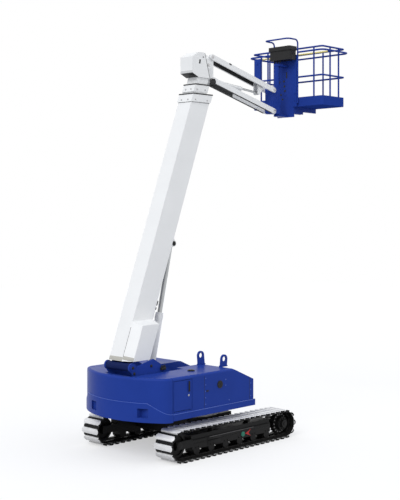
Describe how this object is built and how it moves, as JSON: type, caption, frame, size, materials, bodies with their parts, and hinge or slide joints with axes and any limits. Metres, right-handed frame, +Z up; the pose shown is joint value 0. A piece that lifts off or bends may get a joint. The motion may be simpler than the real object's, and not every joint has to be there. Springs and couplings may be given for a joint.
{
  "type": "tracked telescopic boom lift",
  "caption": "Crawler boom lift: steel tracks, slewing turntable, telescoping box boom and a levelled jib that carries a railed work basket.",
  "frame": {"origin": "on the ground, at the middle of the machine's overall length and width", "axes": "+X forward, from the tail towards the basket; +Y to the machine's left; +Z up"},
  "size_m": [5.0082, 2.09, 6.8844],
  "materials": {
    "blue_paint": "gloss blue enamel",
    "white_paint": "gloss white enamel",
    "black_paint": "satin black chassis paint",
    "bare_steel": "worn bright steel",
    "chrome_rod": "hard chrome",
    "pin_steel": "turned steel",
    "wear_pad": "black slide pad",
    "black_plastic": "textured black plastic",
    "yellow_paint": "yellow enamel"
  },
  "bodies": {
    "undercarriage": {"track_right": "bare_steel", "track_frame_right": "black_paint", "sprocket_right": "bare_steel", "travel_hub_right": "black_paint", "idler_right": "black_paint", "rollers_right": "black_paint", "track_left": "bare_steel", "track_frame_left": "black_paint", "sprocket_left": "bare_steel", "travel_hub_left": "black_paint", "idler_left": "black_paint", "rollers_left": "black_paint", "car_body": "black_paint", "slew_ring": "bare_steel"},
    "turntable": {"turntable_deck": "blue_paint", "counterweight": "blue_paint", "tail_casting": "blue_paint", "right_hood": "blue_paint", "left_hood": "blue_paint", "engine": "black_paint", "bracket_right": "blue_paint", "bracket_left": "blue_paint", "lift_foot": "black_paint", "pivot_pin": "pin_steel", "lift_foot_pin": "pin_steel", "lifting_lugs": "blue_paint", "filler_cap": "black_plastic", "side_outlet": "black_plastic"},
    "side_door": {"side_door": "blue_paint"},
    "boom_base": {"boom_base": "white_paint", "boom_foot": "blue_paint", "boom_side_box": "white_paint", "base_wear_ring": "wear_pad"},
    "boom_mid": {"boom_mid": "white_paint", "mid_wear_ring": "wear_pad"},
    "boom_tip": {"boom_tip": "white_paint", "boom_head": "white_paint", "level_pin": "pin_steel"},
    "lift_barrel": {"lift_barrel": "white_paint"},
    "lift_rod": {"lift_rod": "chrome_rod"},
    "jib_root": {"jib_root": "white_paint"},
    "jib_arm": {"jib_arm": "white_paint"},
    "jib_link": {"jib_link": "white_paint"},
    "jib_barrel": {"jib_barrel": "white_paint"},
    "jib_rod": {"jib_rod": "chrome_rod"},
    "jib_end": {"jib_end": "blue_paint"},
    "basket": {"swing_bracket": "blue_paint", "rear_panel": "blue_paint", "basket_floor": "blue_paint", "rail_rear": "blue_paint", "rail_front": "blue_paint", "rail_right": "blue_paint", "rail_left": "blue_paint", "control_box": "black_plastic", "control_guard": "blue_paint", "tool_box": "blue_paint", "hook_bar": "yellow_paint"}
  },
  "joints": [
    {"name": "slew", "type": "hinge", "parent": "undercarriage", "child": "turntable", "pos_m": [-0.7141, 0, 0.64], "axis": [0, 0, 1], "continuous": true},
    {"name": "side_door", "type": "hinge", "parent": "turntable", "child": "side_door", "pos_m": [-2.01245, -0.929, 1], "axis": [0, 0, -1], "range_deg": [0, 110]},
    {"name": "boom_elevation", "type": "hinge", "parent": "turntable", "child": "boom_base", "pos_m": [-2.3341, 0, 1.407], "axis": [0, -1, 0], "range_deg": [-69.7, 4]},
    {"name": "telescope", "type": "slide", "parent": "boom_base", "child": "boom_mid", "axis": [0.3469, 0, 0.9379], "range_m": [0, 3.3]},
    {"name": "telescope_tip", "type": "slide", "parent": "boom_mid", "child": "boom_tip", "axis": [0.3469, 0, 0.9379], "range_m": [0, 3.3]},
    {"name": "lift_barrel", "type": "hinge", "parent": "turntable", "child": "lift_barrel", "pos_m": [-1.7091, 0, 0.9], "axis": [0, -1, 0], "range_deg": [-75.32, 4.79]},
    {"name": "lift_rod", "type": "slide", "parent": "lift_barrel", "child": "lift_rod", "axis": [0.219, 0, 0.9757], "range_m": [-0.9137, 0.0619]},
    {"name": "basket_level", "type": "hinge", "parent": "boom_tip", "child": "jib_root", "pos_m": [-0.42876, 0, 6.21009], "axis": [0, -1, 0], "range_deg": [-4.5, 70.2]},
    {"name": "jib", "type": "hinge", "parent": "jib_root", "child": "jib_arm", "pos_m": [-0.29376, 0, 5.98509], "axis": [0, 1, 0], "range_deg": [-55, 45]},
    {"name": "jib_link", "type": "hinge", "parent": "jib_root", "child": "jib_link", "pos_m": [-0.29376, 0, 6.36009], "axis": [0, 1, 0], "range_deg": [-55.5, 45.5]},
    {"name": "jib_end", "type": "hinge", "parent": "jib_arm", "child": "jib_end", "pos_m": [1.3061, 0, 5.56537], "axis": [0, 1, 0], "range_deg": [-45.5, 55.5]},
    {"name": "jib_barrel", "type": "hinge", "parent": "jib_root", "child": "jib_barrel", "pos_m": [-0.29376, 0, 5.98509], "axis": [0, 1, 0], "range_deg": [-55.5, 45.5]},
    {"name": "jib_rod", "type": "slide", "parent": "jib_barrel", "child": "jib_rod", "axis": [0.9956, 0, -0.0937], "range_m": [-0.2669, 0.324]},
    {"name": "basket_swing", "type": "hinge", "parent": "jib_end", "child": "basket", "pos_m": [1.4961, 0, 5.52037], "axis": [0, 0, 1], "range_deg": [-90, 90]}
  ],
  "couplings": [
    {"joint": "telescope_tip", "follows": "telescope", "ratio": 1},
    {"joint": "lift_barrel", "follows": "boom_elevation", "ratio": 1.0734},
    {"joint": "lift_rod", "follows": "boom_elevation", "m_per_rad": 0.74289},
    {"joint": "basket_level", "follows": "boom_elevation", "ratio": -1},
    {"joint": "jib_link", "follows": "jib", "ratio": 1},
    {"joint": "jib_end", "follows": "jib", "ratio": -1},
    {"joint": "jib_barrel", "follows": "jib", "ratio": 1},
    {"joint": "jib_rod", "follows": "jib", "m_per_rad": -0.32712}
  ]
}
